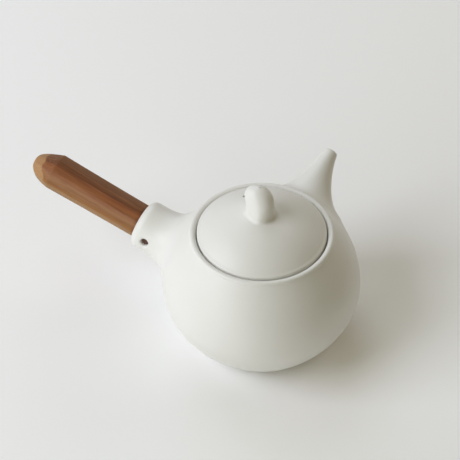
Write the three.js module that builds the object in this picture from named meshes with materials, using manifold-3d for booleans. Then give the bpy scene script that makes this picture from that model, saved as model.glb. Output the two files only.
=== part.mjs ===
import * as THREE from 'three';
import { mergeVertices } from 'three/addons/utils/BufferGeometryUtils.js';
import Module from 'manifold-3d';

// A side-handled teapot in fired porcelain with a wooden handle, a domed lid and a lift-out tea strainer.
// Millimetres, +Z up. The origin is on the pot's axis, in the plane that its foot stands on.
// The handle points along -X and the spout along about +Y.

// Body: turned shell, belly, foot ring
const BELLY_R = 57.5;
const BELLY_Z = 35;
const WALL = 4;
const FLOOR_T = 4.5;
const FOOT_R = 38.5;
const FOOT_RING_W = 5;
const FOOT_RECESS = 1;
const FLOOR_CORNER_W = 3;
const FLOOR_CORNER_H = 0.5;
const HEEL_RUN = 5.5;
const HEEL_RISE = 3.8;
const BELLY_FULL_BELOW = 15;
const BELLY_FULL_ABOVE = 19.5;
const NECK_RUN = 6.2;
const NECK_RISE = 8.7;

// Mouth: rounded lip, gallery that the strainer and the lid sit in
const POT_H = 75.2;
const MOUTH_R = 33;
const LEDGE_W = 4.6;
const LEDGE_T = 4;
const LEDGE_TAPER = 5;
const GALLERY_DEPTH = 4.7;
const LIP_W = 3.7;
const LIP_H = 2;

// Spout: an upper line, a lower line and a width that tapers from root to tip
const SPOUT_TURN = 95;
const SPOUT_REACH = 20.6;
const SPOUT_ROOT_OUT = 1;
const SPOUT_ROOT_IN = 8;
const SPOUT_TIP_ABOVE_LIP = 0.8;
const SPOUT_TIP_R = 3.9;
const SPOUT_TIP_TILT = 20;
const SPOUT_ROOT_W = 21.5;
const SPOUT_TAPER = 1.36;
const SPOUT_TOP_BELOW_LIP = 5.6;
const SPOUT_TOP_SAG = 1.3;
const SPOUT_UNDER_ABOVE_BELLY = 4.6;
const SPOUT_UNDER_SAG = 8.5;
const SPOUT_ROOT_WALL = 3.6;
const SPOUT_TIP_WALL = 1.4;

// Socket for the handle, one piece with the body
const HANDLE_RISE = 15.5;
const SOCKET_ABOVE_BELLY = 13.5;
const SOCKET_REACH = 23.4;
const SOCKET_WALL = 5;
const SOCKET_LIP = 4.6;
const SOCKET_DEPTH = 18;
const SOCKET_WAIST = 11;
const SOCKET_FLARE_L = 20;
const SOCKET_FLARE_R = 10.5;
const SOCKET_FLARE_BEND = 2.2;
const SOCKET_FLARE_LESS_UNDER = 6;

// Handle: eight-sided grip with a round tenon
const TENON_R = 9.4;
const TENON_FIT = 0.3;
const TENON_END_GAP = 1.5;
const SHOULDER_W = 0.8;
const SHOULDER_GAP = 0.3;
const GRIP_L = 72.7;
const GRIP_SWELL = 0.7;
const GRIP_SWELL_BEND = 1.5;
const GRIP_END_L = 16;
const GRIP_END_R = 2.4;
const GRIP_END_BEND = 1.4;
const GRIP_DROOP = 0.7;
const GRIP_SIDES = 8;

// Peg across the socket and the tenon
const PEG_R = 2.2;
const PEG_FIT = 0.3;
const PEG_FROM_MOUTH = 9.7;
const PEG_SUNK = 2;
const PEG_ROLL = 7;

// Lid
const LID_GAP = 0.9;
const LID_EDGE_ROUND = 0.8;
const SKIRT_FOOT_ROUND = 1;
const LID_RISE = 13.6;
const LID_FULL = 2.4;
const LID_WALL = 4;
const SKIRT_GAP = 1;
const SKIRT_WALL = 3.4;
const SKIRT_L = 8;
const VENT_R = 1;
const VENT_FROM_KNOB = 11.6;
const VENT_TURN = 146;

// Knob, one piece with the lid: oval sections that lean towards the vent
const KNOB_H = 18.5;
const KNOB_CROWN_H = 8.8;
const KNOB_CROWN_BEND = 1.7;
const KNOB_LONG = 10.3;
const KNOB_SHORT = 7.3;
const KNOB_FOOT_R = 10.4;
const KNOB_FILLET_H = 4.2;
const KNOB_FILLET_BEND = 2.2;
const KNOB_SUNK = 1.4;
const KNOB_OFF_AXIS = 1.5;
const KNOB_LEAN = 2.2;
const KNOB_TURN = 155;

// Strainer: pressed rim, fine-mesh cup, base band
const STRAINER_GAP = 1;
const STRAINER_SHEET = 0.8;
const STRAINER_MESH = 0.5;
const STRAINER_COLLAR = 6;
const STRAINER_DEPTH = 48;
const STRAINER_BAND = 4;
const STRAINER_FLOOR_GAP = 1;

// Sides of a round piece by its size, rings along a curved one, and how far a cut runs past a surface
const ROUND = 48;
const FINE = 36;
const SMALL = 20;
const TINY = 12;
const SHELL_STEPS = 12;
const SPOUT_STEPS = 14;
const SOCKET_STEPS = 8;
const EDGE_STEPS = 5;
const KNOB_STEPS = 10;
const DOME_STEPS = 14;
const PAST = 1;

const wasm = await Module();
wasm.setup();

const radians = THREE.MathUtils.degToRad;
const at = (r, z) => new THREE.Vector2(r, z);

// Solids

function solidOf(geometry) {
  const bare = geometry.clone();
  bare.deleteAttribute('normal');
  bare.deleteAttribute('uv');
  const welded = mergeVertices(bare, 1e-4);
  const corners = welded.index.array;
  const kept = [];
  for (let i = 0; i < corners.length; i += 3) {
    const [a, b, c] = corners.slice(i, i + 3);
    if (a !== b && b !== c && c !== a) kept.push(a, b, c);
  }
  return new wasm.Manifold(new wasm.Mesh({
    numProp: 3,
    vertProperties: new Float32Array(welded.attributes.position.array),
    triVerts: new Uint32Array(kept),
  }));
}

function geometryOf(solid) {
  const mesh = solid.getMesh();
  const geometry = new THREE.BufferGeometry();
  geometry.setAttribute('position', new THREE.BufferAttribute(new Float32Array(mesh.vertProperties), 3));
  geometry.setIndex(new THREE.BufferAttribute(new Uint32Array(mesh.triVerts), 1));
  geometry.computeVertexNormals();
  return geometry;
}

// A profile of (radius, height) points, listed from the bottom up the outside, turned round +Z.
function turned(profile, sides = ROUND) {
  const geometry = new THREE.LatheGeometry(profile, sides);
  geometry.rotateX(Math.PI / 2);
  return geometry;
}

// A solid through oval rings, each with a centre and two half-axes.
function throughRings(rings, sides = FINE) {
  const last = rings.length - 1;
  const profile = [at(0, 0), ...rings.map((ring, i) => at(1, i)), at(0, last)];
  const geometry = new THREE.LatheGeometry(profile, sides);
  const place = geometry.attributes.position;
  for (let i = 0; i < place.count; i += 1) {
    const ring = rings[Math.round(place.getY(i))];
    const p = ring.centre.clone()
      .addScaledVector(ring.across, place.getX(i))
      .addScaledVector(ring.up, place.getZ(i));
    place.setXYZ(i, p.x, p.y, p.z);
  }
  return geometry;
}

// Materials

function material(color, roughness, metalness = 0) {
  return new THREE.MeshStandardMaterial({ color, roughness, metalness });
}

const porcelain = material(0xeeede8, 0.42);
const walnut = material(0x80523a, 0.5);
const pegWood = material(0x5a3424, 0.6);
const steel = material(0xc4c4c2, 0.3, 1);
const steelMesh = material(0xb4b4b2, 0.4, 1);

function piece(name, geometry, finish) {
  const mesh = new THREE.Mesh(geometry, finish);
  mesh.name = name;
  return mesh;
}

// Pot body

const galleryR = MOUTH_R + LEDGE_W;
const rimR = galleryR + LIP_W;
const ledgeZ = POT_H - GALLERY_DEPTH;
const neckZ = POT_H - LIP_H;

const lowerCurve = new THREE.CubicBezierCurve(
  at(FOOT_R, 0),
  at(FOOT_R + HEEL_RUN, HEEL_RISE),
  at(BELLY_R, BELLY_Z - BELLY_FULL_BELOW),
  at(BELLY_R, BELLY_Z),
);
const upperCurve = new THREE.CubicBezierCurve(
  at(BELLY_R, BELLY_Z),
  at(BELLY_R, BELLY_Z + BELLY_FULL_ABOVE),
  at(rimR + NECK_RUN, neckZ - NECK_RISE),
  at(rimR, neckZ),
);

function radiusAt(height) {
  const curve = height < BELLY_Z ? lowerCurve : upperCurve;
  let low = 0;
  let high = 1;
  for (let i = 0; i < 40; i += 1) {
    const middle = (low + high) / 2;
    if (curve.getPoint(middle).y < height) low = middle;
    else high = middle;
  }
  return curve.getPoint(low).x;
}

function insetPoints(curve, steps, inset) {
  const points = [];
  for (let i = 0; i <= steps; i += 1) {
    const p = curve.getPoint(i / steps);
    const along = curve.getTangent(i / steps);
    points.push(at(p.x - along.y * inset, p.y + along.x * inset));
  }
  return points;
}

// The lip is a half oval from the neck over to the gallery's wall.
function lipPoints() {
  const points = [];
  for (let i = 0; i <= 2 * EDGE_STEPS; i += 1) {
    const angle = (i / EDGE_STEPS) * Math.PI / 2;
    points.push(at(galleryR + (LIP_W / 2) * (1 + Math.cos(angle)), neckZ + LIP_H * Math.sin(angle)));
  }
  return points;
}

function bodyOutside() {
  const ringIn = FOOT_R - FOOT_RING_W;
  const profile = [
    at(0, FOOT_RECESS),
    at(ringIn - FOOT_RECESS, FOOT_RECESS),
    at(ringIn, 0),
    ...lowerCurve.getPoints(SHELL_STEPS),
    ...upperCurve.getPoints(SHELL_STEPS).slice(1),
    ...lipPoints().slice(1),
    at(0, neckZ),
  ];
  return turned(profile);
}

const floorZ = FOOT_RECESS + FLOOR_T;
const underLedgeZ = ledgeZ - LEDGE_T;

function bodyInside() {
  const cornerZ = floorZ + FLOOR_CORNER_H;
  const taperFoot = underLedgeZ - LEDGE_TAPER;
  const lower = insetPoints(lowerCurve, SHELL_STEPS, WALL).filter((p) => p.y > cornerZ);
  const upper = insetPoints(upperCurve, SHELL_STEPS, WALL).filter((p) => p.y < taperFoot);
  const profile = [
    at(0, floorZ),
    at(lower[0].x - FLOOR_CORNER_W, floorZ),
    ...lower,
    ...upper.slice(1),
    at(MOUTH_R, underLedgeZ),
    at(MOUTH_R, ledgeZ),
    at(galleryR, ledgeZ),
    at(galleryR, POT_H + PAST),
    at(0, POT_H + PAST),
  ];
  return turned(profile);
}

// Spout

const spoutOut = new THREE.Vector3(
  Math.cos(radians(180 - SPOUT_TURN)),
  Math.sin(radians(180 - SPOUT_TURN)),
  0,
);
const spoutSide = new THREE.Vector3(spoutOut.y, -spoutOut.x, 0);
const spoutTopZ = POT_H - SPOUT_TOP_BELOW_LIP;
const spoutUnderZ = BELLY_Z + SPOUT_UNDER_ABOVE_BELLY;
const spoutTipReach = BELLY_R + SPOUT_REACH;
const spoutTipZ = POT_H + SPOUT_TIP_ABOVE_LIP;
const tipTilt = radians(SPOUT_TIP_TILT);
const tipTop = at(
  spoutTipReach - SPOUT_TIP_R * Math.sin(tipTilt),
  spoutTipZ + SPOUT_TIP_R * Math.cos(tipTilt),
);
const tipUnder = at(
  spoutTipReach + SPOUT_TIP_R * Math.sin(tipTilt),
  spoutTipZ - SPOUT_TIP_R * Math.cos(tipTilt),
);

// The line from start to end, drawn in towards its lower right by sag.
function saggedLine(start, end, sag) {
  const middle = start.clone().add(end).multiplyScalar(0.5);
  const along = end.clone().sub(start).normalize();
  const control = middle.add(at(along.y, -along.x).multiplyScalar(2 * sag));
  return new THREE.QuadraticBezierCurve(start, control, end);
}

const spoutRoot = (height) => at(radiusAt(height) + SPOUT_ROOT_OUT, height);
const spoutTopLine = saggedLine(spoutRoot(spoutTopZ), tipTop, SPOUT_TOP_SAG);
const spoutUnderLine = saggedLine(spoutRoot(spoutUnderZ), tipUnder, -SPOUT_UNDER_SAG);

function spoutRing(t, wall, shift = 0, widthAt = t) {
  const top = spoutTopLine.getPoint(t);
  const under = spoutUnderLine.getPoint(t);
  const half = top.clone().sub(under).multiplyScalar(0.5);
  const centre = top.clone().add(under).multiplyScalar(0.5);
  const outward = at(half.y, -half.x).normalize();
  centre.addScaledVector(outward, shift);
  half.setLength(half.length() - wall);
  const wide = SPOUT_TIP_R + (SPOUT_ROOT_W - SPOUT_TIP_R) * (1 - widthAt) ** SPOUT_TAPER - wall;
  return {
    centre: spoutOut.clone().multiplyScalar(centre.x).setZ(centre.y),
    across: spoutSide.clone().multiplyScalar(wide),
    up: spoutOut.clone().multiplyScalar(half.x).setZ(half.y),
  };
}

// The outside keeps on spreading behind its root, so its flanks run into the shell without a step.
function spoutOutside() {
  const behind = -SPOUT_ROOT_IN / spoutTopLine.getLength();
  const rings = [spoutRing(0, 0, -SPOUT_ROOT_IN, behind)];
  for (let i = 0; i <= SPOUT_STEPS; i += 1) rings.push(spoutRing(i / SPOUT_STEPS, 0));
  return throughRings(rings);
}

function spoutInside() {
  const rings = [spoutRing(0, SPOUT_ROOT_WALL, -SPOUT_ROOT_IN)];
  for (let i = 0; i <= SPOUT_STEPS; i += 1) {
    const t = i / SPOUT_STEPS;
    rings.push(spoutRing(t, THREE.MathUtils.lerp(SPOUT_ROOT_WALL, SPOUT_TIP_WALL, t)));
  }
  rings.push(spoutRing(1, SPOUT_TIP_WALL, PAST));
  return throughRings(rings);
}

// Socket. Its own frame has its mouth at the origin and the handle pointing along +Z.

const rise = radians(HANDLE_RISE);
const socketZ = BELLY_Z + SOCKET_ABOVE_BELLY;
const mouthX = -(radiusAt(socketZ) + SOCKET_REACH);
const handleFrame = new THREE.Matrix4()
  .makeTranslation(mouthX, 0, socketZ)
  .multiply(new THREE.Matrix4().makeRotationY(rise - Math.PI / 2));
const onHandle = (geometry) => geometry.applyMatrix4(handleFrame);
const boreR = TENON_R + TENON_FIT;
const socketR = boreR + SOCKET_WALL;

// An oval ring across the handle's axis: its half-height and half-width, and how far its centre is raised.
function ringAcross(along, high, wide, raised = 0) {
  return {
    centre: new THREE.Vector3(raised, 0, along),
    across: new THREE.Vector3(high, 0, 0),
    up: new THREE.Vector3(0, -wide, 0),
  };
}

// The flare spreads less underneath, where the shell curves away from it, so its end stays inside the shell.
function socketOutside() {
  const rings = [];
  for (let i = SOCKET_STEPS; i >= 0; i -= 1) {
    const t = i / SOCKET_STEPS;
    const share = t ** SOCKET_FLARE_BEND;
    const radius = socketR + SOCKET_FLARE_R * share;
    const raised = SOCKET_FLARE_LESS_UNDER * share / 2;
    rings.push(ringAcross(-SOCKET_WAIST - SOCKET_FLARE_L * t, radius - raised, radius, raised));
  }
  for (let i = 0; i <= EDGE_STEPS; i += 1) {
    const angle = (i / EDGE_STEPS) * Math.PI / 2;
    const radius = socketR - SOCKET_LIP * (1 - Math.cos(angle));
    rings.push(ringAcross(-SOCKET_LIP * (1 - Math.sin(angle)), radius, radius));
  }
  return onHandle(throughRings(rings));
}

function roundBar(radius, low, high, sides = FINE) {
  return turned([at(0, low), at(radius, low), at(radius, high), at(0, high)], sides);
}

function pegBar(radius, length) {
  const bar = roundBar(radius, -length / 2, length / 2, SMALL);
  bar.rotateX(Math.PI / 2);
  bar.rotateZ(radians(PEG_ROLL));
  bar.translate(0, 0, -PEG_FROM_MOUTH);
  return bar;
}

const pegHole = () => pegBar(PEG_R + PEG_FIT, 2 * (socketR + PAST));

function potBody() {
  const solid = solidOf(bodyOutside())
    .add(solidOf(spoutOutside()))
    .add(solidOf(socketOutside()))
    .subtract(solidOf(bodyInside()))
    .subtract(solidOf(spoutInside()))
    .subtract(solidOf(onHandle(roundBar(boreR, -SOCKET_DEPTH, PAST))))
    .subtract(solidOf(onHandle(pegHole())));
  return piece('pot_body', geometryOf(solid), porcelain);
}

// Handle

const gripR = TENON_R + SHOULDER_W;

function grip() {
  const endStart = GRIP_L - GRIP_END_L;
  const rings = [];
  for (let i = 0; i <= EDGE_STEPS; i += 1) {
    const t = i / EDGE_STEPS;
    const radius = gripR + GRIP_SWELL * t ** GRIP_SWELL_BEND;
    rings.push(ringAcross(THREE.MathUtils.lerp(SHOULDER_GAP, endStart, t), radius, radius));
  }
  for (let i = 1; i <= EDGE_STEPS; i += 1) {
    const angle = (i / EDGE_STEPS) * Math.PI / 2;
    const full = gripR + GRIP_SWELL - GRIP_END_R;
    const radius = GRIP_END_R + full * Math.cos(angle) ** GRIP_END_BEND;
    const raised = -GRIP_DROOP * (1 - Math.cos(angle));
    rings.push(ringAcross(endStart + GRIP_END_L * Math.sin(angle), radius, radius, raised));
  }
  return throughRings(rings, GRIP_SIDES);
}

function handle() {
  const tenonFoot = TENON_END_GAP - SOCKET_DEPTH;
  const solid = solidOf(grip())
    .add(solidOf(roundBar(TENON_R, tenonFoot, SHOULDER_GAP + PAST)))
    .subtract(solidOf(pegHole()));
  return piece('handle', geometryOf(solid), walnut);
}

function handlePeg() {
  return piece('handle_peg', pegBar(PEG_R, 2 * (socketR - PEG_SUNK)), pegWood);
}

// Strainer

const cupR = MOUTH_R - STRAINER_GAP;
const flangeTop = ledgeZ + STRAINER_SHEET;
const cupBottom = ledgeZ - STRAINER_DEPTH;

function strainerRim() {
  const inner = cupR - STRAINER_SHEET;
  return turned([
    at(inner, ledgeZ - STRAINER_COLLAR),
    at(cupR, ledgeZ - STRAINER_COLLAR),
    at(cupR, ledgeZ),
    at(galleryR - LID_GAP, ledgeZ),
    at(galleryR - LID_GAP, flangeTop),
    at(inner, flangeTop),
    at(inner, ledgeZ - STRAINER_COLLAR),
  ]);
}

const meshR = cupR - STRAINER_SHEET;

function strainerWall() {
  const inner = meshR - STRAINER_MESH;
  const top = ledgeZ - STRAINER_SHEET;
  return turned([
    at(inner, cupBottom),
    at(meshR, cupBottom),
    at(meshR, top),
    at(inner, top),
    at(inner, cupBottom),
  ]);
}

function strainerBand() {
  const inner = meshR - STRAINER_MESH - STRAINER_SHEET;
  return turned([
    at(inner - STRAINER_BAND, cupBottom),
    at(inner + STRAINER_SHEET, cupBottom),
    at(inner + STRAINER_SHEET, cupBottom + STRAINER_BAND),
    at(inner, cupBottom + STRAINER_BAND),
    at(inner, cupBottom + STRAINER_SHEET),
    at(inner - STRAINER_BAND, cupBottom + STRAINER_SHEET),
    at(inner - STRAINER_BAND, cupBottom),
  ]);
}

function strainerFloor() {
  const inner = meshR - STRAINER_MESH - STRAINER_SHEET;
  const low = cupBottom + STRAINER_SHEET;
  return roundBar(inner - STRAINER_FLOOR_GAP, low, low + STRAINER_MESH, ROUND);
}

// Lid

const lidR = galleryR - LID_GAP;
const lidEdgeZ = POT_H;
const crownZ = lidEdgeZ + LID_RISE;
const skirtR = meshR - STRAINER_MESH - SKIRT_GAP;
const domeZ = (r) => crownZ - LID_RISE * (r / lidR) ** LID_FULL;

function lidShell() {
  const skirtIn = skirtR - SKIRT_WALL;
  const skirtFoot = flangeTop - SKIRT_L;
  const profile = [];
  for (let i = 0; i <= SHELL_STEPS; i += 1) {
    const r = skirtIn * i / SHELL_STEPS;
    profile.push(at(r, domeZ(r) - LID_WALL));
  }
  profile.push(
    at(skirtIn, skirtFoot + SKIRT_FOOT_ROUND),
    at(skirtIn + SKIRT_FOOT_ROUND, skirtFoot),
    at(skirtR - SKIRT_FOOT_ROUND, skirtFoot),
    at(skirtR, skirtFoot + SKIRT_FOOT_ROUND),
    at(skirtR, flangeTop),
    at(lidR, flangeTop),
    at(lidR, lidEdgeZ - LID_EDGE_ROUND),
  );
  for (let i = DOME_STEPS; i >= 0; i -= 1) {
    const r = (lidR - LID_EDGE_ROUND) * i / DOME_STEPS;
    profile.push(at(r, domeZ(r)));
  }
  return turned(profile);
}

const knobShoulderH = KNOB_H - KNOB_CROWN_H;

// The knob's share of its full size: it stands straight up to its shoulder, then closes in a dome.
function knobShare(height) {
  const close = Math.max(0, height - knobShoulderH) / KNOB_CROWN_H;
  return Math.sqrt(1 - close ** KNOB_CROWN_BEND);
}

// The foot spreads in a hollow curve into the dome.
function knobHalf(half, height) {
  const spread = Math.max(0, 1 - height / KNOB_FILLET_H) ** KNOB_FILLET_BEND;
  return half + (KNOB_FOOT_R - half) * spread;
}

function knobRing(height, long, short) {
  const share = knobShare(height);
  const lean = KNOB_OFF_AXIS + KNOB_LEAN * THREE.MathUtils.smoothstep(height, 0, KNOB_H);
  return {
    centre: long.clone().multiplyScalar(lean).setZ(crownZ + height),
    across: long.clone().multiplyScalar(knobHalf(share * KNOB_LONG, height)),
    up: short.clone().multiplyScalar(knobHalf(share * KNOB_SHORT, height)),
  };
}

function knob() {
  const long = new THREE.Vector3(Math.cos(radians(KNOB_TURN)), Math.sin(radians(KNOB_TURN)), 0);
  const short = new THREE.Vector3(long.y, -long.x, 0);
  const rings = [knobRing(-KNOB_SUNK, long, short)];
  for (let i = 0; i < KNOB_STEPS; i += 1) {
    rings.push(knobRing(knobShoulderH * (i / KNOB_STEPS) ** 2, long, short));
  }
  for (let i = 0; i < KNOB_STEPS; i += 1) {
    const angle = (i / KNOB_STEPS) * Math.PI / 2;
    rings.push(knobRing(knobShoulderH + KNOB_CROWN_H * Math.sin(angle), long, short));
  }
  return throughRings(rings);
}

function lid() {
  const vent = roundBar(VENT_R, flangeTop, crownZ, TINY);
  const turn = radians(VENT_TURN);
  const reach = KNOB_FOOT_R + VENT_FROM_KNOB;
  vent.translate(reach * Math.cos(turn), reach * Math.sin(turn), 0);
  const solid = solidOf(lidShell()).add(solidOf(knob())).subtract(solidOf(vent));
  return piece('lid', geometryOf(solid), porcelain);
}

// The whole teapot

const teapot = new THREE.Group();
const handleGroup = new THREE.Group();
handleGroup.applyMatrix4(handleFrame);
handleGroup.add(handle(), handlePeg());
teapot.add(
  potBody(),
  handleGroup,
  piece('strainer_rim', strainerRim(), steel),
  piece('strainer_wall', strainerWall(), steelMesh),
  piece('strainer_band', strainerBand(), steel),
  piece('strainer_floor', strainerFloor(), steelMesh),
  lid(),
);

export default teapot;
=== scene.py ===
import math

import bpy
import numpy as np
from mathutils import Euler, Matrix, Vector


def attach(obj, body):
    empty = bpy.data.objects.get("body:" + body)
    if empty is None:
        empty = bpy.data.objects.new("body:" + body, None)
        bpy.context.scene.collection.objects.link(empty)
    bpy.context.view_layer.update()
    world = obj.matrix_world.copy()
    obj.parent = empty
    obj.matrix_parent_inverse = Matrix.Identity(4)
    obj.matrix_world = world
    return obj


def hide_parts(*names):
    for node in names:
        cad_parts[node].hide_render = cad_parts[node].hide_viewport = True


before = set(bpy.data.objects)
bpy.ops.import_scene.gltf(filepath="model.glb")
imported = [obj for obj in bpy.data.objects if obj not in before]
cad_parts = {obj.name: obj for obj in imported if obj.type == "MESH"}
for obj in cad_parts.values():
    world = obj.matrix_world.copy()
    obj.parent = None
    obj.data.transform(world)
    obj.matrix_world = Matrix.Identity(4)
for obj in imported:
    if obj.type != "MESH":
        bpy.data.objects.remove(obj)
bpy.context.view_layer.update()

# Pot body: one fired piece of porcelain. It is a turned shell on a foot ring, with the spout and the handle's
# socket luted on while the clay was wet, so both roots run out into the shell in a smooth hollow. Its glaze
# is a satin-matt white. Lengths are in millimetres, and a mesh is brought to metres as it is made.

BELLY_R, BELLY_Z = 57.5, 35.0
BELLY_FULL_BELOW, BELLY_FULL_ABOVE = 15.0, 19.5
FOOT_R, FOOT_RING_W, FOOT_RECESS = 38.5, 5.0, 1.0
HEEL_RUN, HEEL_RISE = 5.5, 3.8
NECK_RUN, NECK_RISE, NECK_TUCK = 6.2, 8.7, 0.1
WALL, FLOOR_Z, FLOOR_CORNER_H = 4.0, 5.5, 0.4
POT_H = 75.2
GALLERY_R, LEDGE_Z, MOUTH_R = 37.6, 70.5, 33.0
LIP_H, LIP_CREST, LIP_OUTER_R = 2.0, 2.4, 1.35
LEDGE_UNDER_Z, SHOULDER_INSIDE_Z = 66.5, 61.5
PAST_AXIS, OPEN_ABOVE = -20, 8


def arc(centre, radius, start, end, steps):
    """Points on an arc, in degrees from the outward direction."""
    angles = np.radians(np.linspace(start, end, steps))
    return [(centre[0] + radius * math.cos(a), centre[1] + radius * math.sin(a)) for a in angles]


def bezier(a, b, c, d):
    """Points on a curve from a to d that sets out towards b and comes in from c."""
    t = np.linspace(0, 1, 60)[:, None]
    a, b, c, d = (np.array(p, float) for p in (a, b, c, d))
    return a * (1 - t) ** 3 + 3 * b * t * (1 - t) ** 2 + 3 * c * t ** 2 * (1 - t) + d * t ** 3


def inset(points, depth):
    """The same line moved in towards the axis by a wall's thickness."""
    along = np.gradient(points, axis=0)
    along /= np.linalg.norm(along, axis=1)[:, None]
    return points + depth * np.stack([-along[:, 1], along[:, 0]], 1)


# The lip is a bead with its crest near the outside, so a wide slope runs down to the lid.
crest_r = GALLERY_R + LIP_CREST
lip_outside = arc((crest_r, POT_H - LIP_OUTER_R), LIP_OUTER_R, -14, 90, 12)
lip_inside = [(crest_r - LIP_CREST * math.sin(a), POT_H - LIP_H * (1 - math.cos(a)))
              for a in np.radians(np.linspace(8, 84, 14))]
neck = (lip_outside[0][0] - NECK_TUCK, lip_outside[0][1] - NECK_TUCK)
heel_to_belly = bezier(
    (FOOT_R, 0), (FOOT_R + HEEL_RUN, HEEL_RISE), (BELLY_R, BELLY_Z - BELLY_FULL_BELOW), (BELLY_R, BELLY_Z))
belly_to_neck = bezier(
    (BELLY_R, BELLY_Z), (BELLY_R, BELLY_Z + BELLY_FULL_ABOVE),
    (neck[0] + NECK_RUN, neck[1] - NECK_RISE), neck)
shell_profile = [
    (PAST_AXIS, FOOT_RECESS), (FOOT_R - FOOT_RING_W - FOOT_RECESS, FOOT_RECESS), (FOOT_R - FOOT_RING_W, 0),
    *heel_to_belly, *belly_to_neck[1:], *lip_outside, *lip_inside, (PAST_AXIS, POT_H - LIP_H),
]
inside_low = inset(heel_to_belly, WALL)
inside_high = inset(belly_to_neck, WALL)
cavity_profile = [
    (PAST_AXIS, FLOOR_Z), *[p for p in inside_low if p[1] > FLOOR_Z + FLOOR_CORNER_H],
    *[p for p in inside_high if p[1] < SHOULDER_INSIDE_Z], (MOUTH_R, LEDGE_UNDER_Z), (MOUTH_R, LEDGE_Z),
    (GALLERY_R, LEDGE_Z), (GALLERY_R, POT_H + OPEN_ABOVE), (PAST_AXIS, POT_H + OPEN_ABOVE),
]


def distance_to(profile, r, z):
    """Signed distance from (r, z) points to a closed outline, negative inside."""
    nearest = np.full(r.shape, np.inf)
    inside = np.zeros(r.shape, bool)
    for (r0, z0), (r1, z1) in zip(profile, [*profile[1:], profile[0]]):
        dr, dz = r1 - r0, z1 - z0
        t = np.clip(((r - r0) * dr + (z - z0) * dz) / (dr * dr + dz * dz), 0, 1)
        nearest = np.minimum(nearest, (r - r0 - t * dr) ** 2 + (z - z0 - t * dz) ** 2)
        if dz:
            inside ^= ((z0 > z) != (z1 > z)) & (r < r0 + (z - z0) * dr / dz)
    return np.where(inside, -1, 1) * np.sqrt(nearest)


def turned_field(profile, r_end, z_start, z_end, pitch):
    """The distance to a turned form as a function of (radius, height), read from a table of its outline."""
    r_axis = np.arange(0, r_end, pitch)
    z_axis = np.arange(z_start, z_end, pitch)
    table = distance_to(profile, *np.meshgrid(r_axis, z_axis, indexing="ij"))

    def field(r, z):
        u = np.clip(r / pitch, 0, len(r_axis) - 1.001)
        v = np.clip((z - z_start) / pitch, 0, len(z_axis) - 1.001)
        i, j = u.astype(int), v.astype(int)
        u, v = u - i, v - j
        low = table[i, j] * (1 - u) + table[i + 1, j] * u
        high = table[i, j + 1] * (1 - u) + table[i + 1, j + 1] * u
        return low * (1 - v) + high * v

    return field


def smoothstep(value, low, high):
    """0 below low, 1 above high, smooth between."""
    t = np.clip((value - low) / (high - low), 0, 1)
    return t * t * (3 - 2 * t)


def joined(a, b, fillet):
    """Both forms as one, with a hollow fillet where they meet."""
    h = np.clip(0.5 + 0.5 * (b - a) / fillet, 0, 1)
    return b + (a - b) * h - fillet * h * (1 - h)


def cut(a, b, softness):
    """Form a without form b, with an edge softened as glaze softens it."""
    return -joined(-a, b, softness)


SHELL_SPACE = {"r_end": 84, "z_start": -4, "z_end": 92, "pitch": 0.2}
shell_field = turned_field(shell_profile, **SHELL_SPACE)
cavity_field = turned_field(cavity_profile, **SHELL_SPACE)

# The spout lies between an upper and a lower line in its own plane, each given by its root, a point that it
# bends towards and its tip, as (distance from the pot's axis, height). It narrows sideways from root to tip.
SPOUT_TURN = math.radians(85)
SPOUT_TOP = np.array([(44.8, 69.6), (49.7, 70.9), (76.8, 79.7)])
SPOUT_UNDER = np.array([(58.5, 39.6), (60.6, 54.1), (79.4, 72.3)])
SPOUT_TIP_R, SPOUT_ROOT_W, SPOUT_TAPER = 4.2, 21.5, 1.36
SPOUT_WALL_ROOT, SPOUT_WALL_TIP = 3.6, 1.4
SPOUT_L, SPOUT_FILLET, SPOUT_TIP_ROUND = 33.5, 6.0, 1.1
SPOUT_FROM, SPOUT_HALF_SPACE, SPOUT_SPREADS_BEHIND, FAR_OFF = 25, 40, 0.6, 60.0
spout_out = np.array([math.cos(SPOUT_TURN), math.sin(SPOUT_TURN)])
spout_side = np.array([spout_out[1], -spout_out[0]])


def on_line(line, t):
    """The point at share t on one of the spout's two lines."""
    a, b, c = line
    t = t[..., None]
    return a * (1 - t) ** 2 + 2 * b * t * (1 - t) + c * t ** 2


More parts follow.
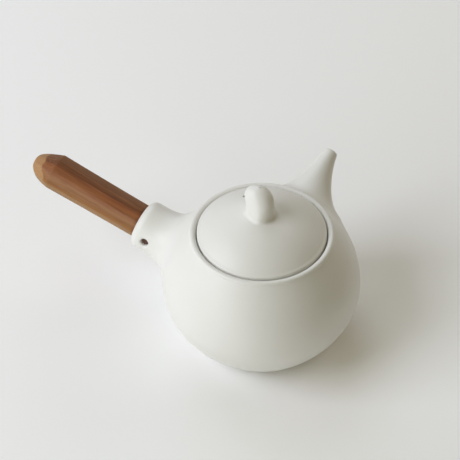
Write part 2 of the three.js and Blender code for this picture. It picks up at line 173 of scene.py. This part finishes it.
def spout_fields(x, y, z):
    """Distances to the spout's outside and bore. Each point is measured in the oval ring that it lies in."""
    out = x * spout_out[0] + y * spout_out[1]
    side = x * spout_side[0] + y * spout_side[1]
    near = (out > SPOUT_FROM) & (abs(side) < SPOUT_HALF_SPACE)
    point = np.stack([out[near], z[near]], 1)
    low, high = np.zeros(len(point)), np.full(len(point), 1.2)
    for _ in range(24):
        t = (low + high) / 2
        top, under = on_line(SPOUT_TOP, t), on_line(SPOUT_UNDER, t)
        up = top - under
        beyond = (point - under)[:, 0] * up[:, 1] - (point - under)[:, 1] * up[:, 0] > 0
        low, high = np.where(beyond, t, low), np.where(beyond, high, t)
    middle = (top + under) / 2
    half = np.linalg.norm(up, axis=1) / 2
    rise = np.einsum("ij,ij->i", point - middle, up) / (2 * half)
    behind = ((point - middle)[:, 1] * up[:, 0] - (point - middle)[:, 0] * up[:, 1]) / (2 * half)
    t = np.where(t > 1e-6, t, -np.clip(behind / SPOUT_L, 0, SPOUT_SPREADS_BEHIND))
    wide = SPOUT_TIP_R + (SPOUT_ROOT_W - SPOUT_TIP_R) * np.maximum(1 - t, 0) ** SPOUT_TAPER
    wall = SPOUT_WALL_ROOT + (SPOUT_WALL_TIP - SPOUT_WALL_ROOT) * np.clip(t, 0, 1)
    outside, bore = np.full(out.shape, FAR_OFF), np.full(out.shape, FAR_OFF)
    across = side[near]
    tip = on_line(SPOUT_TOP, np.ones(1)) - on_line(SPOUT_UNDER, np.ones(1))
    tip_out = np.array([tip[0, 1], -tip[0, 0]]) / np.linalg.norm(tip)
    tip_centre = (SPOUT_TOP[2] + SPOUT_UNDER[2]) / 2
    end = (point - tip_centre) @ tip_out
    oval = np.sqrt((rise / half) ** 2 + (across / wide) ** 2)
    outside[near] = cut((oval - 1) * np.minimum(half, wide), -end, SPOUT_TIP_ROUND)
    half, wide = half - wall, np.minimum(wide, SPOUT_ROOT_W) - wall
    oval = np.sqrt((rise / half) ** 2 + (across / wide) ** 2)
    bore[near] = (oval - 1) * np.minimum(half, wide)
    return outside, bore


# The socket stands on the handle's axis. Its own frame has its mouth at the origin and the handle along +Z.
HANDLE_RISE = math.radians(15.5)
SOCKET_MOUTH = (-79.1, 0, 48.5)
SOCKET_R, BORE_R, SOCKET_DEPTH = 14.7, 9.7, 18.0
SOCKET_WAIST, SOCKET_FILLET = 10.0, 5.0
SOCKET_FLARE_L, SOCKET_FLARE_R, SOCKET_FLARE_BEND, SOCKET_FLARE_LESS_UNDER = 22.0, 10.0, 2.2, 5.0
PEG_HOLE_R, PEG_FROM_MOUTH, PEG_ROLL = 2.5, 9.7, math.radians(7)
handle_frame = Matrix.Translation(SOCKET_MOUTH) @ Matrix.Rotation(HANDLE_RISE - math.pi / 2, 4, "Y")
to_handle = np.array(handle_frame.inverted())
CAVITY_EDGE, SPOUT_BORE_EDGE, BORE_EDGE, PEG_HOLE_EDGE = 0.7, 0.9, 0.5, 1.2
socket_profile = [
    (PAST_AXIS, -SOCKET_WAIST - SOCKET_FLARE_L),
    *[(SOCKET_R + SOCKET_FLARE_R * t ** SOCKET_FLARE_BEND, -SOCKET_WAIST - SOCKET_FLARE_L * t)
      for t in np.linspace(1, 0, 24)],
    *arc((BORE_R, BORE_R - SOCKET_R), SOCKET_R - BORE_R, 0, 90, 20), (PAST_AXIS, 0),
]
socket_field = turned_field(socket_profile, 60, -60, 20, 0.2)


def pot_field(x, y, z):
    """The distance to the whole body. The flare spreads less underneath, where the shell curves away."""
    r = np.hypot(x, y)
    spout, spout_bore = spout_fields(x, y, z)
    up, back, along = (to_handle[k, 0] * x + to_handle[k, 1] * y + to_handle[k, 2] * z + to_handle[k, 3]
                       for k in range(3))
    around = np.hypot(up, back)
    flared = np.clip((-along - SOCKET_WAIST) / SOCKET_FLARE_L, 0, 1) ** SOCKET_FLARE_BEND
    underneath = smoothstep(-up / np.maximum(around, 1), 0.7, 1)
    socket = socket_field(around + SOCKET_FLARE_LESS_UNDER * flared * underneath, along)
    bore = np.maximum(around - BORE_R, -along - SOCKET_DEPTH)
    off_peg = up * math.cos(PEG_ROLL) + back * math.sin(PEG_ROLL)
    peg_hole = np.hypot(off_peg, along + PEG_FROM_MOUTH) - PEG_HOLE_R
    form = joined(shell_field(r, z), spout, SPOUT_FILLET)
    form = joined(form, socket, SOCKET_FILLET)
    form = cut(form, cavity_field(r, z), CAVITY_EDGE)
    form = cut(form, spout_bore, SPOUT_BORE_EDGE)
    form = cut(form, bore, BORE_EDGE)
    return cut(form, peg_hole, PEG_HOLE_EDGE)


def grid_lines(start, *stretches):
    """Grid lines along one axis from a start, in stretches of (end, step)."""
    lines = [start]
    for end, step in stretches:
        count = math.ceil((end - lines[-1]) / step)
        lines += list(np.linspace(lines[-1], end, count + 1)[1:])
    return np.array(lines)


SMOOTHING_ROUNDS, SETTLING_STEPS, SLOPE_STEP, LEAST_SLOPE = 6, 3, 0.02, 0.05


def skin(name, field, *lines):
    """A mesh of quads where a form's distance is nought, between grid lines along X, Y and Z."""
    inside = field(*np.meshgrid(*lines, indexing="ij")) < 0
    cells_x, cells_y, cells_z = (count - 1 for count in inside.shape)
    corners = sum(
        inside[i:cells_x + i, j:cells_y + j, k:cells_z + k].astype(int)
        for i in (0, 1) for j in (0, 1) for k in (0, 1))
    cells = np.argwhere((corners > 0) & (corners < 8))
    number = np.full(corners.shape, -1)
    number[tuple(cells.T)] = np.arange(len(cells))
    points = np.stack([(lines[a][cells[:, a]] + lines[a][cells[:, a] + 1]) / 2 for a in range(3)], 1)
    quads = []
    for a in range(3):
        b, c = (a + 1) % 3, (a + 2) % 3
        here = np.moveaxis(inside, (a, b, c), (0, 1, 2))
        index = np.moveaxis(number, (a, b, c), (0, 1, 2))
        enters = here[:-1, 1:-1, 1:-1] != here[1:, 1:-1, 1:-1]
        i, j, k = np.argwhere(enters).T
        ring = np.stack([index[i, j, k], index[i, j + 1, k], index[i, j + 1, k + 1], index[i, j, k + 1]], 1)
        leaving = here[i, j + 1, k + 1]
        quads.append(np.where(leaving[:, None], ring, ring[:, ::-1]))
    quads = np.concatenate(quads)
    ends = np.concatenate([quads[:, (a, (a + 1) % 4)] for a in range(4)])

    def settle(p):
        """Points moved down the slope of the distance, onto the surface."""
        for _ in range(SETTLING_STEPS):
            value = field(*p.T)
            rise = [field(*(p + step).T) - value for step in np.eye(3) * SLOPE_STEP]
            slope = np.stack(rise, 1) / SLOPE_STEP
            p = p - slope * (value / np.maximum((slope ** 2).sum(1), LEAST_SLOPE))[:, None]
        return p

    points = settle(points)
    for _ in range(SMOOTHING_ROUNDS):
        total, count = np.zeros_like(points), np.zeros(len(points))
        np.add.at(total, ends[:, 0], points[ends[:, 1]])
        np.add.at(count, ends[:, 0], 1)
        points = settle((points + total / count[:, None]) / 2)
    mesh = bpy.data.meshes.new(name)
    mesh.from_pydata(points / 1000, [], quads.tolist())
    mesh.shade_smooth()
    made = bpy.data.objects.new(name, mesh)
    bpy.context.scene.collection.objects.link(made)
    return made


# The grid is finer round the spout.
pot = skin(
    "pot_body_glazed", pot_field,
    grid_lines(-83.4, (0, 0.9), (14, 0.5), (60, 0.9)),
    grid_lines(-60, (62, 0.9), (82, 0.5)),
    grid_lines(-1.2, (67, 0.9), (82, 0.45)),
)
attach(pot, "pot")
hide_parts("pot_body")


class Value:
    """One output of a shader node. An expression on it adds its Math nodes."""

    def __init__(self, finish, socket):
        self.finish, self.socket = finish, socket

    def math(self, operation, *others):
        return self.finish.math(operation, self, *others)

    def __add__(self, other):
        return self.math("ADD", other)

    def __sub__(self, other):
        return self.math("SUBTRACT", other)

    def __rsub__(self, other):
        return self.finish.math("SUBTRACT", other, self)

    def __mul__(self, other):
        return self.math("MULTIPLY", other)

    def __truediv__(self, other):
        return self.math("DIVIDE", other)

    __radd__, __rmul__ = __add__, __mul__


class Finish:
    """A material made of nodes."""

    def __init__(self, name):
        self.material = bpy.data.materials.new(name)
        self.material.use_nodes = True
        self.tree = self.material.node_tree
        self.tree.nodes.clear()

    def node(self, kind, settings=None, values=None, output=0):
        """A node with its settings, and values or links for its sockets. It gives one output as a Value."""
        made = self.tree.nodes.new(kind)
        for name, setting in (settings or {}).items():
            if name == "stops":
                ramp = made.color_ramp
                for _ in range(len(setting) - 2):
                    ramp.elements.new(0.5)
                for element, (place, color) in zip(ramp.elements, setting):
                    element.position, element.color = place, color
            else:
                setattr(made, name, setting)
        for name, value in (values or {}).items():
            if isinstance(value, Value):
                self.tree.links.new(value.socket, made.inputs[name])
            else:
                made.inputs[name].default_value = value
        return Value(self, made.outputs[output]) if made.outputs else made

    def math(self, operation, *values):
        return self.node("ShaderNodeMath", {"operation": operation}, dict(enumerate(values)))

    def place(self, stretch=(1, 1, 1)):
        """The point on the piece in metres, stretched along its axes."""
        point = self.node("ShaderNodeTexCoord", output="Object")
        return self.node("ShaderNodeMapping", values={"Vector": point, "Scale": stretch})

    def axes(self, point):
        """The three coordinates of a point."""
        return [self.node("ShaderNodeSeparateXYZ", values={"Vector": point}, output=axis) for axis in "XYZ"]

    def noise(self, vector, scale, detail=2.0, roughness=0.5):
        return self.node("ShaderNodeTexNoise", values={
            "Vector": vector, "Scale": scale, "Detail": detail, "Roughness": roughness})

    def clamp(self, value, low, high):
        """0 below low, 1 above high, smooth between."""
        return self.node("ShaderNodeMapRange", {"interpolation_type": "SMOOTHSTEP"},
                         {"Value": value, "From Min": low, "From Max": high})

    def mix(self, share, a, b):
        return self.node("ShaderNodeMix", {"data_type": "RGBA"}, {0: share, 6: a, 7: b}, output=2)

    def bump(self, height, depth):
        return self.node("ShaderNodeBump", values={"Height": height, "Distance": depth})

    def done(self, **sockets):
        """The finished material, from the shader's sockets in small letters."""
        values = {}
        for name, value in sockets.items():
            values[name.replace("_", " ").title().replace("Ior", "IOR")] = value
        shader = self.node("ShaderNodeBsdfPrincipled", values=values)
        self.node("ShaderNodeOutputMaterial", values={"Surface": shader})
        return self.material


def shade(red, green, blue):
    """A colour as seen on screen, each part 11 to 255, as the shader takes it."""
    return tuple(((part / 255 + 0.055) / 1.055) ** 2.4 for part in (red, green, blue)) + (1.0,)


def glaze():
    """White with faint clouds and a few iron specks, its skin slightly uneven."""
    finish = Finish("satin_white_glaze")
    point = finish.place()
    clouds = finish.noise(point, 28, 3)
    specks = finish.clamp(finish.noise(point, 900, 1), 0.72, 0.8)
    pool = finish.mix(clouds, shade(228, 227, 222), shade(232, 231, 227))
    color = finish.mix(specks * 0.12, pool, shade(196, 188, 172))
    unevenness = finish.noise(point, 700, 2) * 0.35 + finish.noise(point, 130, 2)
    return finish.done(
        base_color=color,
        roughness=0.44 + clouds * 0.1,
        coat_weight=0.12,
        coat_roughness=0.3,
        normal=finish.bump(unevenness, 0.00004),
    )


porcelain = glaze()
pot.data.materials.append(porcelain)

# Strainer: a pressed steel rim that lies on the gallery's ledge, a cup of woven wire in it, and a band at
# its foot that closes the cup over a round wire floor. It lifts out of the pot, and the lid hides it.

CUP_R, SHEET, WIRE_SHEET = 32.0, 0.8, 0.5
WIRE_PITCH, WIRE_SHARE = 1.0, 0.26
RIM_R = 36.7
COLLAR_L, CUP_L, BAND_H = 6.0, 48.0, 4.0
SHEET_EDGE_R, RIM_ROLL_R, BAND_ROUND = 0.4, 1.2, 1


def turned(name, profile):
    """A closed (radius, height) outline turned round the pot's axis."""
    count, sides = len(profile), 128
    angles = np.linspace(0, 2 * math.pi, sides, endpoint=False)
    points = [(r * math.cos(a) / 1000, r * math.sin(a) / 1000, z / 1000) for a in angles for r, z in profile]
    faces = [(i * count + j, (i + 1) % sides * count + j,
              (i + 1) % sides * count + (j + 1) % count, i * count + (j + 1) % count)
             for i in range(sides) for j in range(count)]
    mesh = bpy.data.meshes.new(name)
    mesh.from_pydata(points, [], faces)
    mesh.shade_smooth()
    made = bpy.data.objects.new(name, mesh)
    bpy.context.scene.collection.objects.link(made)
    return made


mesh_r = CUP_R - SHEET
collar_foot, cup_foot = LEDGE_Z - COLLAR_L, LEDGE_Z - CUP_L
rim = turned("strainer_rim_pressed", [
    (mesh_r, collar_foot), *arc((mesh_r + SHEET_EDGE_R, collar_foot + 0.3), SHEET_EDGE_R, 200, 340, 6),
    (CUP_R, collar_foot + 0.6), (CUP_R, LEDGE_Z),
    *arc((RIM_R - SHEET_EDGE_R, LEDGE_Z + SHEET_EDGE_R), SHEET_EDGE_R, -90, 90, 8),
    *arc((mesh_r + RIM_ROLL_R, LEDGE_Z + SHEET - RIM_ROLL_R), RIM_ROLL_R, 90, 180, 8),
])
band_out = mesh_r - WIRE_SHEET
band_in, band_hem = band_out - SHEET, band_out - SHEET - BAND_H
band = turned("strainer_band_pressed", [
    (band_hem, cup_foot), *arc((band_out - BAND_ROUND, cup_foot + BAND_ROUND), BAND_ROUND, -90, 0, 6),
    (band_out, cup_foot + BAND_H), (band_in, cup_foot + BAND_H),
    (band_in, cup_foot + SHEET), (band_hem, cup_foot + SHEET),
])
wall = turned("strainer_wall_woven", [
    (band_out, cup_foot), (mesh_r, cup_foot), (mesh_r, LEDGE_Z - SHEET), (band_out, LEDGE_Z - SHEET),
])


def brushed_steel():
    """Satin sheet with fine lines that run round it."""
    finish = Finish("brushed_steel")
    lines = finish.noise(finish.place(stretch=(1, 1, 30)), 90, 4)
    return finish.done(
        base_color=finish.mix(lines, shade(186, 187, 190), shade(214, 215, 217)),
        metallic=0.8,
        roughness=0.34 + lines * 0.16,
        normal=finish.bump(lines, 0.00002),
    )


def woven_steel(name, round_the_cup):
    """Round wires over and under each other, open between, at a pitch of a millimetre."""
    finish = Finish(name)
    point = finish.node("ShaderNodeTexCoord", output="Object")
    x, y, z = finish.axes(point)
    if round_the_cup:
        first, second = y.math("ARCTAN2", x) * (mesh_r / WIRE_PITCH), z * (1000 / WIRE_PITCH)
    else:
        first, second = x * (1000 / WIRE_PITCH), y * (1000 / WIRE_PITCH)

    def wire(across, along):
        """A wire's round back, nought beside the wire, and how high it stands as it goes over and under."""
        off = (across.math("FRACT") - 0.5) / WIRE_SHARE
        back = (1 - off * off).math("MAXIMUM", 0).math("SQRT")
        side = (across.math("FLOOR") * math.pi + along * math.pi).math("COSINE")
        return back, back * (1.2 + side)

    back, high = wire(first, second)
    other_back, other_high = wire(second, first + 1)
    open_part = (back + other_back).math("GREATER_THAN", 0.02)
    return finish.done(
        base_color=finish.mix(finish.noise(point, 400), shade(176, 177, 179), shade(204, 205, 206)),
        metallic=0.85,
        roughness=0.38 + finish.noise(point, 250) * 0.1,
        alpha=open_part,
        normal=finish.bump(high.math("MAXIMUM", other_high), 0.0002),
    )


steel = brushed_steel()
for piece, node, slot, material in (
        (rim, "strainer_rim", "steel", steel),
        (band, "strainer_band", "steel", steel),
        (wall, "strainer_wall", "steel_mesh", woven_steel("woven_steel_wall", True))):
    piece.data.materials.append(material)
    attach(piece, "strainer")
    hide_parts(node)
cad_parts["strainer_floor"].data.materials[0] = woven_steel("woven_steel_floor", False)

# Lid: porcelain, thrown as a dome with a locating skirt under it. The knob is a leaning oval pinched onto the
# crown, and a vent is pierced beside it. The lid rests on the strainer's rim, inside the pot's lip.

LID_R, CROWN_Z, DOME_RISE, DOME_FULL = 37.1, 88.8, 13.6, 2.5
LID_EDGE_R, LID_SEAT_EDGE_R, LID_WALL = 0.9, 0.5, 4.0
LID_SEAT_Z = LEDGE_Z + SHEET
SKIRT_R, SKIRT_WALL, SKIRT_L, SKIRT_ROOT = 29.7, 3.4, 8.0, 2
KNOB_H, KNOB_CROWN_H, KNOB_CROWN_BEND, KNOB_SUNK = 18.3, 8.9, 1.9, 3.0
KNOB_FOOT_R, KNOB_LONG, KNOB_SHORT, KNOB_FILLET = 8.4, 9.4, 7.4, 1.8
KNOB_TURN, KNOB_TWIST = math.radians(130), math.radians(52)
KNOB_LEAN_TURN, KNOB_OFF_AXIS, KNOB_LEAN = math.radians(152), 1.5, 2.2
KNOB_FACE, KNOB_FACE_TURN, KNOB_FACE_LEAN, KNOB_FACE_EDGE = 6.9, math.radians(245), 0.05, 1.8
VENT_R, VENT_FROM_AXIS, VENT_TURN, VENT_EDGE = 1.3, 21.1, math.radians(143.5), 0.35


def dome(r):
    """The height of the lid's top at a distance from its axis."""
    return CROWN_Z - DOME_RISE * (r / LID_R) ** DOME_FULL


edge, skirt_in = LID_R - LID_EDGE_R, SKIRT_R - SKIRT_WALL
lid_profile = [
    (PAST_AXIS, CROWN_Z - LID_WALL),
    *[(r, dome(r) - LID_WALL) for r in np.linspace(1, skirt_in - SKIRT_ROOT, 30)],
    (skirt_in, dome(skirt_in) - LID_WALL - SKIRT_ROOT),
    *arc((SKIRT_R - SKIRT_WALL / 2, LID_SEAT_Z - SKIRT_L + SKIRT_WALL / 2), SKIRT_WALL / 2, 180, 360, 12),
    (SKIRT_R, LID_SEAT_Z),
    *arc((LID_R - LID_SEAT_EDGE_R, LID_SEAT_Z + LID_SEAT_EDGE_R), LID_SEAT_EDGE_R, -90, 0, 6),
    *arc((edge, dome(edge) - LID_EDGE_R), LID_EDGE_R, 0, 60, 8),
    *[(r, dome(r)) for r in np.linspace(edge - 0.4, 0.5, 60)], (PAST_AXIS, CROWN_Z),
]
lid_shell_field = turned_field(lid_profile, 48, 58, 120, 0.15)


def knob_field(x, y, z):
    """A post, round at its foot and oval above, that leans and twists and has one side pressed flatter."""
    height = z - CROWN_Z
    shoulder = KNOB_H - KNOB_CROWN_H
    rise = np.clip(height / shoulder, 0, 1)
    closing = np.clip((height - shoulder) / KNOB_CROWN_H, 0, 0.9999) ** KNOB_CROWN_BEND
    share = np.sqrt(1 - closing)
    lean = KNOB_OFF_AXIS + KNOB_LEAN * smoothstep(height, 0, KNOB_H)
    x = x - lean * math.cos(KNOB_LEAN_TURN)
    y = y - lean * math.sin(KNOB_LEAN_TURN)
    turn = KNOB_TURN + KNOB_TWIST * np.clip(height / KNOB_H, 0, 1)
    along = x * np.cos(turn) + y * np.sin(turn)
    across = y * np.cos(turn) - x * np.sin(turn)
    long = (KNOB_FOOT_R + (KNOB_LONG - KNOB_FOOT_R) * rise) * share
    short = (KNOB_FOOT_R + (KNOB_SHORT - KNOB_FOOT_R) * rise) * share
    post = (np.hypot(along / long, across / short) - 1) * short
    post = np.maximum(post, np.maximum(height - KNOB_H, -KNOB_SUNK - height))
    face = x * math.cos(KNOB_FACE_TURN) + y * math.sin(KNOB_FACE_TURN)
    return cut(post, KNOB_FACE - KNOB_FACE_LEAN * (height - shoulder) - face, KNOB_FACE_EDGE)


def lid_field(x, y, z):
    """The distance to the lid with its knob, the vent pierced through."""
    vent_x, vent_y = VENT_FROM_AXIS * math.cos(VENT_TURN), VENT_FROM_AXIS * math.sin(VENT_TURN)
    vent = np.hypot(x - vent_x, y - vent_y) - VENT_R
    form = joined(lid_shell_field(np.hypot(x, y), z), knob_field(x, y, z), KNOB_FILLET)
    return cut(form, vent, VENT_EDGE)


# The grid is finer round the vent and at the lid's edge.
lid = skin(
    "lid_glazed", lid_field,
    grid_lines(-38, (-19.2, 0.7), (-14.8, 0.25), (38, 0.7)),
    grid_lines(-38, (10.3, 0.7), (14.9, 0.25), (38, 0.7)),
    grid_lines(62.4, (70.4, 0.7), (78, 0.4), (114, 0.7)),
)
lid.data.materials.append(porcelain)
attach(lid, "lid")
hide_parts("lid")

# Handle: one piece of oiled walnut, cut to eight sides with a little swell, its end bevelled back facet by
# facet, more on top than underneath. A round tenon runs into the socket.

GRIP_R, GRIP_L, SHOULDER_GAP = 10.2, 72.6, 0.3
GRIP_SWELL, GRIP_SWELL_BEND = 0.7, 1.5
END_L, END_R, END_BEVEL, END_TOP_BEND, END_UNDER_BEND = 14.0, 2.4, 0.46, 5, 2.1
GRIP_SIDES, ARRIS_SHARPNESS, ARRIS_LOSS = 8, 110, 0.988
TENON_R, TENON_END = 9.4, -16.5
POINTS_ROUND = 160


def grip_ring(along):
    """How far the grip's arrises lie from its axis at a place along it, and how far that ring has dropped."""
    end_from = GRIP_L - END_L
    if along <= end_from:
        return GRIP_R + GRIP_SWELL * (along / end_from) ** GRIP_SWELL_BEND, 0
    share = (along - end_from) / END_L
    full = GRIP_R + GRIP_SWELL - END_R
    bevel = END_BEVEL * END_L
    off_top = bevel * share + (full - bevel) * (1 - math.sqrt(1 - share ** END_TOP_BEND))
    off_under = full * (1 - math.sqrt(1 - share ** END_UNDER_BEND))
    return full + END_R - (off_top + off_under) / 2, (off_top - off_under) / 2


def eight_sided(radius, turn):
    """How far a ring of eight flats reaches in a direction round it, its arrises taken off."""
    flat = radius * math.cos(math.pi / GRIP_SIDES) / ARRIS_LOSS
    faces = [math.radians(22.5 + 45 * k) for k in range(GRIP_SIDES)]
    reach = sum(max(0, math.cos(turn - face) / flat) ** ARRIS_SHARPNESS for face in faces)
    return reach ** (-1 / ARRIS_SHARPNESS)


def handle_mesh():
    """Rings of points from the tenon's end out along the grip, more of them where the end rounds off."""
    end_from, sides = GRIP_L - END_L, POINTS_ROUND
    places = [*np.linspace(SHOULDER_GAP, end_from - 0.4, 30), end_from]
    places += [end_from + END_L * math.sin(a) for a in np.radians(np.linspace(1.5, 90, 40))]
    turns = [2 * math.pi * i / sides for i in range(sides)]
    tenon = [(TENON_R * math.cos(turn), TENON_R * math.sin(turn)) for turn in turns]
    points = [(x, y, z) for z in (TENON_END, 0) for x, y in tenon]
    for along in places:
        radius, droop = grip_ring(along)
        reach = [eight_sided(radius, turn) for turn in turns]
        points += [(r * math.cos(t) - droop, r * math.sin(t), along) for r, t in zip(reach, turns)]
    faces = [tuple(reversed(range(sides)))]
    for ring in range(len(points) // sides - 1):
        a, b = ring * sides, (ring + 1) * sides
        faces += [(a + i, a + (i + 1) % sides, b + (i + 1) % sides, b + i) for i in range(sides)]
    faces.append(tuple(range(len(points) - sides, len(points))))
    mesh = bpy.data.meshes.new("handle_grip")
    mesh.from_pydata([handle_frame @ Vector(p) / 1000 for p in points], [], faces)
    mesh.shade_smooth()
    return mesh


grip = bpy.data.objects.new("handle_grip", handle_mesh())
bpy.context.scene.collection.objects.link(grip)


def along_handle(finish, stretch=(1, 1, 1)):
    """A point on the handle in its own frame, grain along Z, in metres."""
    point = finish.node("ShaderNodeTexCoord", output="Object")
    point = finish.node("ShaderNodeMapping", {"vector_type": "TEXTURE"}, {
        "Vector": point,
        "Location": Vector(SOCKET_MOUTH) / 1000,
        "Rotation": (0, HANDLE_RISE - math.pi / 2, 0),
    })
    return finish.node("ShaderNodeMapping", values={"Vector": point, "Scale": stretch})


def walnut():
    """Plain-sawn heartwood, darkest near its top arris, paler underneath and at its end, the end palest on
    top.
    """
    finish = Finish("oiled_walnut")
    up, side, along = finish.axes(along_handle(finish))
    drift = finish.noise(along_handle(finish, (1, 1, 0.12)), 120, 3)
    streaks = finish.noise(along_handle(finish, (1, 1, 0.035)), 520, 4, 0.62)
    fibre = finish.noise(along_handle(finish, (1, 1, 0.02)), 1700, 3)
    pores = finish.clamp(finish.noise(along_handle(finish, (1, 1, 0.03)), 2600, 1), 0.6, 0.72)
    share_round = side.math("ARCTAN2", up) / (2 * math.pi) + 0.5
    share_round = share_round + (drift - 0.5) * 0.075 + (streaks - 0.5) * 0.03
    color = finish.node("ShaderNodeValToRGB", {"stops": [
        (0.0, shade(144, 106, 68)), (0.15, shade(159, 124, 85)), (0.225, shade(154, 111, 62)),
        (0.27, shade(144, 96, 52)), (0.295, shade(146, 102, 66)), (0.335, shade(150, 106, 73)),
        (0.372, shade(138, 87, 56)), (0.395, shade(148, 92, 55)), (0.44, shade(136, 80, 46)),
        (0.468, shade(102, 60, 34)), (0.5, shade(126, 83, 55)), (0.6, shade(138, 97, 70)),
        (1.0, shade(144, 106, 68))]}, {"Fac": share_round})
    color = finish.mix(finish.clamp(streaks, 0.48, 0.7) * 0.5, color, shade(104, 62, 34))
    color = finish.mix(finish.clamp(fibre, 0.48, 0.76) * 0.32, color, shade(186, 140, 96))
    pale_end = finish.clamp(along - up * 0.7 + (drift - 0.5) * 0.007, 0.0616, 0.063)
    pale_share = finish.clamp(up, -0.006, 0.002) * 0.45 + 0.2
    color = finish.mix(pale_end * pale_share, color, shade(188, 148, 104))
    color = finish.mix(pores * 0.35, color, shade(78, 48, 30))
    return finish.done(
        base_color=color,
        roughness=0.46 + fibre * 0.2,
        specular_ior_level=0.25,
        normal=finish.bump(fibre * 0.5 - pores, 0.00006),
    )


grip.data.materials.append(walnut())
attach(grip, "pot")
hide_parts("handle")

# Peg: a thin wooden pin, driven through the socket and the tenon to hold the handle. Only its cut end
# shows, sunk in the hole, so its plain solid serves as it is. Its dark colour is painted shade on the wood's
# brown.


def peg_wood():
    """Wood with its grain along the peg, darkened with painted shade for the hole it sits in."""
    finish = Finish("peg_wood")
    grain = finish.noise(finish.place(stretch=(1, 0.1, 1)), 1400, 3)
    # Both browns are far darker than the walnut: painted shade for the peg's end, deep in its hole.
    return finish.done(
        base_color=finish.mix(grain, shade(58, 34, 26), shade(98, 62, 46)),
        roughness=0.6,
        normal=finish.bump(grain, 0.00005),
    )


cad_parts["handle_peg"].data.materials[0] = peg_wood()

# Studio: a plain pale sheet under the teapot, a large soft light from the left, and weaker light from all
# round. The camera looks down on the lid.

SHEET_SIZE, FADES_FROM, FADES_TO = 6, 0.4, 0.85


def stage_floor():
    """A pale sheet that runs out into the pale wall behind it."""
    finish = Finish("pale_floor")
    point = finish.node("ShaderNodeTexCoord", output="Object")
    away = finish.node("ShaderNodeVectorMath", {"operation": "LENGTH"}, {0: point}, output="Value")
    tint = finish.noise(point, 3, 2)
    return finish.done(
        base_color=finish.mix(tint, shade(252, 252, 252), shade(254, 254, 254)),
        roughness=0.9,
        alpha=1 - finish.clamp(away, FADES_FROM, FADES_TO),
    )


bpy.ops.mesh.primitive_plane_add(size=SHEET_SIZE)
floor = bpy.context.object
floor.name = "floor"
floor.data.materials.append(stage_floor())

LAMP_REACH, LOOKED_AT = 1.6, (0, 0, 0.04)


def soft_light(name, turn, rise, size, power):
    """A square lamp that looks at the pot from a turn and a rise in degrees, its watts as R, G and B."""
    turn, rise = math.radians(turn), math.radians(rise)
    lamp = bpy.data.lights.new(name, "AREA")
    lamp.size, lamp.energy, lamp.color = size, max(power), [p / max(power) for p in power]
    made = bpy.data.objects.new(name, lamp)
    out = Vector((math.cos(turn) * math.cos(rise), math.sin(turn) * math.cos(rise), math.sin(rise)))
    made.location = Vector(LOOKED_AT) + out * LAMP_REACH
    made.rotation_euler = out.to_track_quat("Z", "Y").to_euler()
    bpy.context.scene.collection.objects.link(made)


soft_light("window", 222, 38, 1.1, (14.2, 14.8, 16.8))
soft_light("window_low", 252, 12, 1.0, (7.5, 7.8, 7.8))
soft_light("wall_behind", 132, 38, 1.1, (4.9, 5.1, 6.3))
soft_light("wall_right", 57, 25, 1.0, (3.6, 3.4, 3.6))
soft_light("ceiling", 147, 65, 1.0, (2.2, 2.5, 2.3))

# The room gives weak warm light from all round. What the camera sees of the room is a pale wall.
ROOM_LIGHT, WALL_SEEN = (0.15, 0.125, 0.042, 1), (0.68, 0.68, 0.65, 1)
world = bpy.data.worlds.new("studio")
world.use_nodes = True
nodes, links = world.node_tree.nodes, world.node_tree.links
room, pale_wall = nodes["Background"], nodes.new("ShaderNodeBackground")
room.inputs["Color"].default_value = ROOM_LIGHT
pale_wall.inputs["Color"].default_value = WALL_SEEN
seen = nodes.new("ShaderNodeMixShader")
links.new(nodes.new("ShaderNodeLightPath").outputs["Is Camera Ray"], seen.inputs[0])
links.new(room.outputs["Background"], seen.inputs[1])
links.new(pale_wall.outputs["Background"], seen.inputs[2])
links.new(seen.outputs["Shader"], nodes["World Output"].inputs["Surface"])
bpy.context.scene.world = world
bpy.context.scene.view_settings.view_transform = "Standard"

camera = bpy.data.cameras.new("camera")
camera.lens, camera.sensor_width = 187.8, 36
camera_object = bpy.data.objects.new("camera", camera)
camera_object.location = (0.4237, -0.8715, 1.0375)
camera_object.rotation_euler = Euler((math.radians(45.24), 0, math.radians(27)))
bpy.context.scene.collection.objects.link(camera_object)
bpy.context.scene.camera = camera_object
